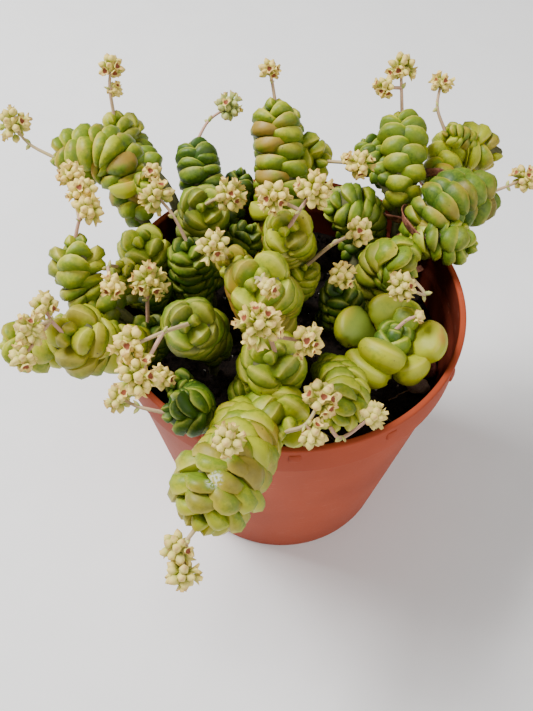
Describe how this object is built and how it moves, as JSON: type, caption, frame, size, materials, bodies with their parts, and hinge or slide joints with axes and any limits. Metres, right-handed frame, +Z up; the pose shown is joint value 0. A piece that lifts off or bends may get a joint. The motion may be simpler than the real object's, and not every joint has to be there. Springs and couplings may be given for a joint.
{
  "type": "potted crassula marchandii",
  "caption": "Stacked-leaf crassula with small cream flower heads, rooted in dark peat in a tapered terracotta-coloured plastic nursery pot; a standing potted succulent.",
  "frame": {"origin": "middle of the pot's base, on the surface that it stands on", "axes": "+Z up; +X to the viewer's right and +Y away from the viewer"},
  "size_m": [0.1687, 0.1628, 0.1409],
  "materials": {
    "pot_plastic": "satin terracotta-coloured plastic, darker inside",
    "peat": "dark moist peat with fine crumbs",
    "leaf": "waxy succulent leaf, yellow-green to dark green with tinged edges",
    "flower": "matt cream buds on pinkish stalks",
    "red_stone": "rough red-brown stone",
    "pale_stone": "rough pinkish stone"
  },
  "bodies": {
    "root": {"flower_back_left": "flower", "flower_back_middle": "flower", "flower_back_middle_side": "flower", "flower_back_right": "flower", "flower_front_hanging": "flower", "flower_front_hanging_side": "flower", "flower_front_left": "flower", "flower_front_low": "flower", "flower_front_low_side": "flower", "flower_front_middle": "flower", "flower_front_middle_side": "flower", "flower_front_right": "flower", "flower_front_tall": "flower", "flower_front_tall_side": "flower", "flower_left_arching": "flower", "flower_left_bud": "flower", "flower_left_front": "flower", "flower_left_low": "flower", "flower_left_outer": "flower", "flower_left_pair": "flower", "flower_left_rear": "flower", "flower_left_slim": "flower", "flower_middle_left": "flower", "flower_middle_low": "flower", "flower_middle_tall": "flower", "flower_middle_tall_side": "flower", "flower_right_low": "flower", "flower_right_rear": "flower", "flower_right_side": "flower", "flower_rosette_bud": "flower", "pot": "pot_plastic", "soil": "peat", "stem_back_left": "leaf", "stem_back_middle": "leaf", "stem_back_right": "leaf", "stem_front_cluster": "leaf", "stem_front_left": "leaf", "stem_front_low": "leaf", "stem_front_right": "leaf", "stem_front_tall": "leaf", "stem_left_arching": "leaf", "stem_left_cluster": "leaf", "stem_left_rear": "leaf", "stem_left_slim": "leaf", "stem_left_upper": "leaf", "stem_middle_left": "leaf", "stem_middle_low": "leaf", "stem_middle_tall": "leaf", "stem_open_rosette": "leaf", "stem_right_inner": "leaf", "stem_right_low": "leaf", "stem_right_rear": "leaf", "stem_right_side": "leaf", "stone_pale": "pale_stone", "stone_red": "red_stone"}
  },
  "joints": []
}
